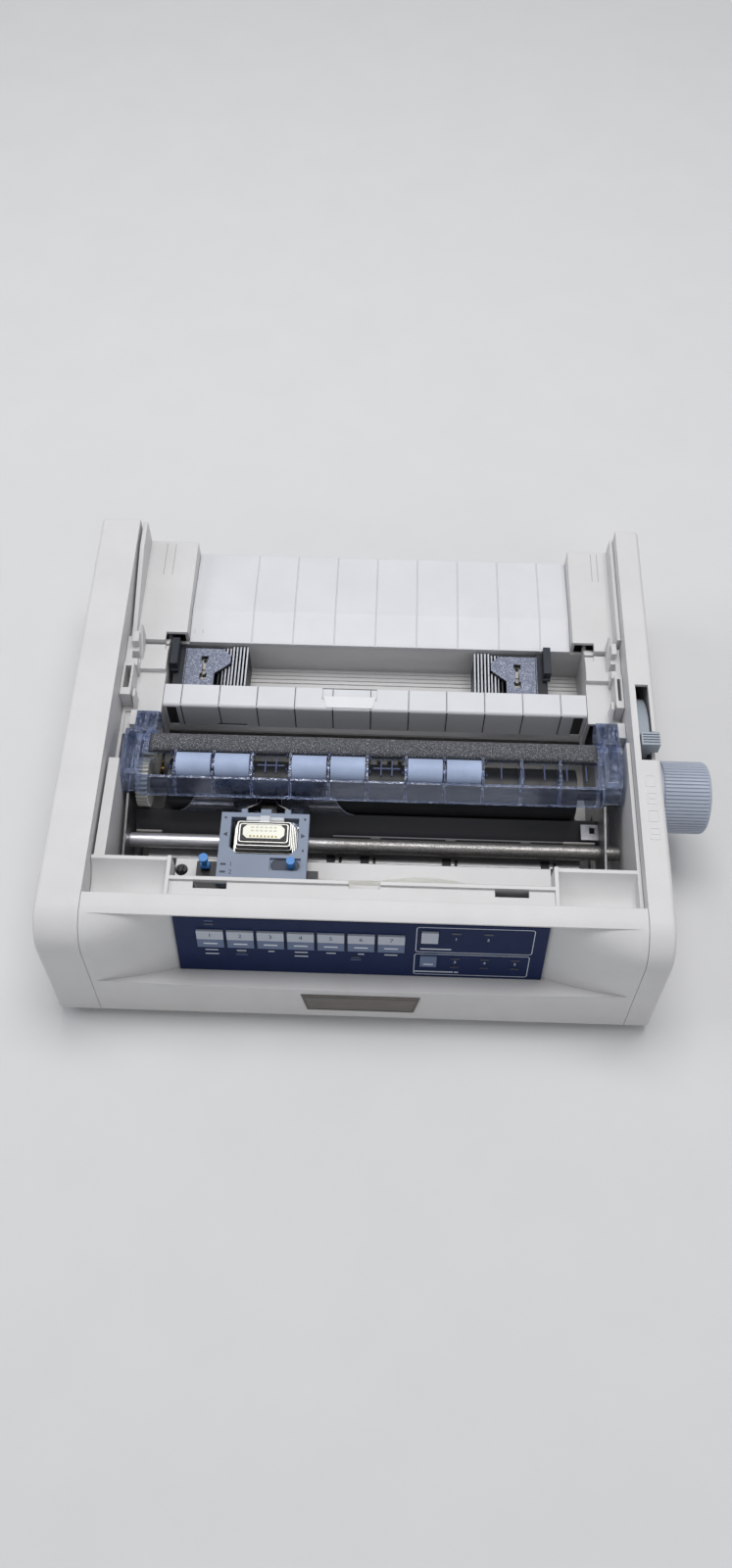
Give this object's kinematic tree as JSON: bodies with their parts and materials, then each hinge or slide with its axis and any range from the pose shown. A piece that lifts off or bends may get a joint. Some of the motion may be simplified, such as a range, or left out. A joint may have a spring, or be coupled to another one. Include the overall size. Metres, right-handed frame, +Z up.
{
  "type": "dot_matrix_printer",
  "caption": "Desk-top dot matrix printer with its access covers off, showing platen, print head, ribbon cartridge, tractors and a front key panel",
  "frame": {"origin": "centre of the case footprint, on the surface that the feet stand on", "axes": "+X to the right seen from the front, +Y to the rear, +Z up"},
  "size_m": [0.437, 0.3472, 0.1095],
  "materials": {
    "case_plastic": "fine grained, slightly warm off-white",
    "guide_plastic": "smooth, slightly warm off-white",
    "panel_blue": "printed overlay, fine texture",
    "key_plastic": "light grey, satin",
    "plate_grey": "satin, bare",
    "blue_grey_plastic": "satin",
    "foot_rubber": "dull",
    "platen_rubber": "ground, dull",
    "gear_plastic": "moulded",
    "pinion_brass": "cut",
    "frame_steel": "zinc plated sheet",
    "rail_steel": "ground and polished",
    "rack_plastic": "moulded",
    "motor_dark": "satin",
    "tractor_black": "moulded, satin",
    "sprocket_plastic": "moulded",
    "clear_blue": "clear blue-tinted plastic",
    "foam_grey": "open-pored foam",
    "roller_rubber": "ground, dull",
    "carriage_black": "moulded",
    "head_metal": "black cast fins with a pale cap",
    "cartridge_blue": "moulded, satin",
    "knob_blue": "moulded",
    "cable_white": "flat film cable",
    "inlet_black": "moulded",
    "board_green": "coated board with parts"
  },
  "bodies": {
    "chassis": {"left_side_cover": "case_plastic", "right_side_cover": "case_plastic", "lower_case": "case_plastic", "rubber_feet": "foot_rubber", "upper_case": "case_plastic", "tractor_well": "case_plastic", "rear_paper_guide": "guide_plastic", "middle_paper_guide": "guide_plastic", "front_fascia": "case_plastic", "operator_panel": "panel_blue", "name_plate": "plate_grey", "left_side_frame": "frame_steel", "right_side_frame": "frame_steel", "carriage_shaft": "rail_steel", "tractor_guide_rod": "rail_steel", "carriage_rack": "rack_plastic", "platen_guide": "frame_steel", "line_feed_motor": "motor_dark", "power_inlet": "inlet_black", "main_board": "board_green"},
    "platen": {"platen_roller": "platen_rubber", "platen_gear": "gear_plastic", "platen_knob": "blue_grey_plastic"},
    "idler_front": {"idler_gear_front": "gear_plastic"},
    "idler_rear": {"idler_gear_rear": "gear_plastic"},
    "feed_pinion": {"motor_pinion": "pinion_brass"},
    "tractor_drive": {"tractor_drive_shaft": "rail_steel"},
    "left_tractor": {"left_tractor_body": "tractor_black"},
    "left_lid": {"left_tractor_lid": "tractor_black"},
    "left_lock": {"left_tractor_lock": "tractor_black"},
    "left_sprocket": {"left_tractor_sprocket": "sprocket_plastic"},
    "right_tractor": {"right_tractor_body": "tractor_black"},
    "right_lid": {"right_tractor_lid": "tractor_black"},
    "right_lock": {"right_tractor_lock": "tractor_black"},
    "right_sprocket": {"right_tractor_sprocket": "sprocket_plastic"},
    "roller_unit": {"roller_unit_frame": "clear_blue", "foam_strip": "foam_grey"},
    "rollers_1": {"pinch_rollers_1": "roller_rubber"},
    "rollers_2": {"pinch_rollers_2": "roller_rubber"},
    "rollers_3": {"pinch_rollers_3": "roller_rubber"},
    "carriage": {"carriage": "carriage_black", "print_head": "head_metal", "ribbon_cartridge": "cartridge_blue", "film_guards": "clear_blue", "space_motor": "motor_dark", "head_cable": "cable_white"},
    "ribbon_knob": {"ribbon_knob": "knob_blue"},
    "gap_lever": {"head_gap_lever": "knob_blue"},
    "space_pinion": {"space_motor_pinion": "pinion_brass"},
    "paper_lever": {"paper_lever": "blue_grey_plastic"},
    "power_rocker": {"power_rocker": "inlet_black"},
    "panel_key_1": {"panel_key_1": "key_plastic"},
    "panel_key_2": {"panel_key_2": "key_plastic"},
    "panel_key_3": {"panel_key_3": "key_plastic"},
    "panel_key_4": {"panel_key_4": "key_plastic"},
    "panel_key_5": {"panel_key_5": "key_plastic"},
    "panel_key_6": {"panel_key_6": "key_plastic"},
    "panel_key_7": {"panel_key_7": "key_plastic"},
    "quality_key": {"quality_key": "key_plastic"},
    "pitch_key": {"pitch_key": "key_plastic"}
  },
  "joints": [
    {"name": "platen_spin", "type": "hinge", "parent": "chassis", "child": "platen", "pos_m": [0, -0.026, 0.062], "axis": [1, 0, 0], "continuous": true},
    {"name": "idler_front_spin", "type": "hinge", "parent": "chassis", "child": "idler_front", "pos_m": [-0.15, 0.00398, 0.0508], "axis": [1, 0, 0], "continuous": true},
    {"name": "idler_rear_spin", "type": "hinge", "parent": "chassis", "child": "idler_rear", "pos_m": [-0.15, 0.03299, 0.0373], "axis": [1, 0, 0], "continuous": true},
    {"name": "feed_pinion_spin", "type": "hinge", "parent": "chassis", "child": "feed_pinion", "pos_m": [-0.15, 0.00398, 0.0288], "axis": [1, 0, 0], "continuous": true},
    {"name": "tractor_drive_spin", "type": "hinge", "parent": "chassis", "child": "tractor_drive", "pos_m": [0, 0.0565, 0.0525], "axis": [1, 0, 0], "continuous": true},
    {"name": "left_tractor_slide", "type": "slide", "parent": "chassis", "child": "left_tractor", "axis": [1, 0, 0], "range_m": [0, 0.07]},
    {"name": "right_tractor_slide", "type": "slide", "parent": "chassis", "child": "right_tractor", "axis": [1, 0, 0], "range_m": [-0.07, 0.02]},
    {"name": "left_lid_hinge", "type": "hinge", "parent": "left_tractor", "child": "left_lid", "pos_m": [-0.1312, 0.065, 0.0708], "axis": [0, -1, 0], "range_deg": [0, 90]},
    {"name": "right_lid_hinge", "type": "hinge", "parent": "right_tractor", "child": "right_lid", "pos_m": [0.1247, 0.065, 0.0708], "axis": [0, 1, 0], "range_deg": [0, 90]},
    {"name": "left_lock_hinge", "type": "hinge", "parent": "left_tractor", "child": "left_lock", "pos_m": [-0.138, 0.063, 0.0718], "axis": [1, 0, 0], "range_deg": [0, 75]},
    {"name": "right_lock_hinge", "type": "hinge", "parent": "right_tractor", "child": "right_lock", "pos_m": [0.1315, 0.063, 0.0718], "axis": [1, 0, 0], "range_deg": [0, 75]},
    {"name": "left_sprocket_spin", "type": "hinge", "parent": "left_tractor", "child": "left_sprocket", "pos_m": [-0.117, 0.0565, 0.0525], "axis": [1, 0, 0], "continuous": true},
    {"name": "right_sprocket_spin", "type": "hinge", "parent": "right_tractor", "child": "right_sprocket", "pos_m": [0.11, 0.0565, 0.0525], "axis": [1, 0, 0], "continuous": true},
    {"name": "roller_unit_hinge", "type": "hinge", "parent": "chassis", "child": "roller_unit", "pos_m": [0.008, 0.011, 0.082], "axis": [1, 0, 0], "range_deg": [-70, 0]},
    {"name": "rollers_1_spin", "type": "hinge", "parent": "roller_unit", "child": "rollers_1", "pos_m": [-0.1123, -0.027, 0.0895], "axis": [1, 0, 0], "continuous": true},
    {"name": "rollers_2_spin", "type": "hinge", "parent": "roller_unit", "child": "rollers_2", "pos_m": [-0.0343, -0.027, 0.0895], "axis": [1, 0, 0], "continuous": true},
    {"name": "rollers_3_spin", "type": "hinge", "parent": "roller_unit", "child": "rollers_3", "pos_m": [0.0437, -0.027, 0.0895], "axis": [1, 0, 0], "continuous": true},
    {"name": "carriage_slide", "type": "slide", "parent": "chassis", "child": "carriage", "axis": [1, 0, 0], "range_m": [-0.03, 0.165], "deforming": ["head_cable"]},
    {"name": "ribbon_knob_spin", "type": "hinge", "parent": "carriage", "child": "ribbon_knob", "pos_m": [-0.0429, -0.097, 0.086], "axis": [0, 0, 1], "continuous": true},
    {"name": "gap_lever_hinge", "type": "hinge", "parent": "carriage", "child": "gap_lever", "pos_m": [-0.0999, -0.0955, 0.076], "axis": [1, 0, 0], "range_deg": [-10, 20]},
    {"name": "space_pinion_spin", "type": "hinge", "parent": "carriage", "child": "space_pinion", "pos_m": [-0.0619, -0.0825, 0.053], "axis": [0, 1, 0], "continuous": true},
    {"name": "paper_lever_hinge", "type": "hinge", "parent": "chassis", "child": "paper_lever", "pos_m": [0.19, 0.006, 0.06], "axis": [1, 0, 0], "range_deg": [0, 12]},
    {"name": "power_rocker_hinge", "type": "hinge", "parent": "chassis", "child": "power_rocker", "pos_m": [0.106, 0.1675, 0.028], "axis": [1, 0, 0], "range_deg": [-6, 6]},
    {"name": "panel_key_1_press", "type": "slide", "parent": "chassis", "child": "panel_key_1", "axis": [0, 0.9687, -0.2484], "range_m": [0, 0.0008], "stiffness_N_per_m": 400},
    {"name": "panel_key_2_press", "type": "slide", "parent": "chassis", "child": "panel_key_2", "axis": [0, 0.9687, -0.2484], "range_m": [0, 0.0008], "stiffness_N_per_m": 400},
    {"name": "panel_key_3_press", "type": "slide", "parent": "chassis", "child": "panel_key_3", "axis": [0, 0.9687, -0.2484], "range_m": [0, 0.0008], "stiffness_N_per_m": 400},
    {"name": "panel_key_4_press", "type": "slide", "parent": "chassis", "child": "panel_key_4", "axis": [0, 0.9687, -0.2484], "range_m": [0, 0.0008], "stiffness_N_per_m": 400},
    {"name": "panel_key_5_press", "type": "slide", "parent": "chassis", "child": "panel_key_5", "axis": [0, 0.9687, -0.2484], "range_m": [0, 0.0008], "stiffness_N_per_m": 400},
    {"name": "panel_key_6_press", "type": "slide", "parent": "chassis", "child": "panel_key_6", "axis": [0, 0.9687, -0.2484], "range_m": [0, 0.0008], "stiffness_N_per_m": 400},
    {"name": "panel_key_7_press", "type": "slide", "parent": "chassis", "child": "panel_key_7", "axis": [0, 0.9687, -0.2484], "range_m": [0, 0.0008], "stiffness_N_per_m": 400},
    {"name": "quality_key_press", "type": "slide", "parent": "chassis", "child": "quality_key", "axis": [0, 0.9687, -0.2484], "range_m": [0, 0.0008], "stiffness_N_per_m": 400},
    {"name": "pitch_key_press", "type": "slide", "parent": "chassis", "child": "pitch_key", "axis": [0, 0.9687, -0.2484], "range_m": [0, 0.0008], "stiffness_N_per_m": 400}
  ],
  "couplings": [
    {"joint": "idler_front_spin", "follows": "platen_spin", "ratio": -1},
    {"joint": "idler_rear_spin", "follows": "platen_spin", "ratio": 1},
    {"joint": "feed_pinion_spin", "follows": "platen_spin", "ratio": 2.6667},
    {"joint": "tractor_drive_spin", "follows": "platen_spin", "ratio": -1.3333},
    {"joint": "left_sprocket_spin", "follows": "platen_spin", "ratio": -1.3333},
    {"joint": "right_sprocket_spin", "follows": "platen_spin", "ratio": -1.3333},
    {"joint": "space_pinion_spin", "follows": "carriage_slide", "rad_per_m": 166.67}
  ]
}
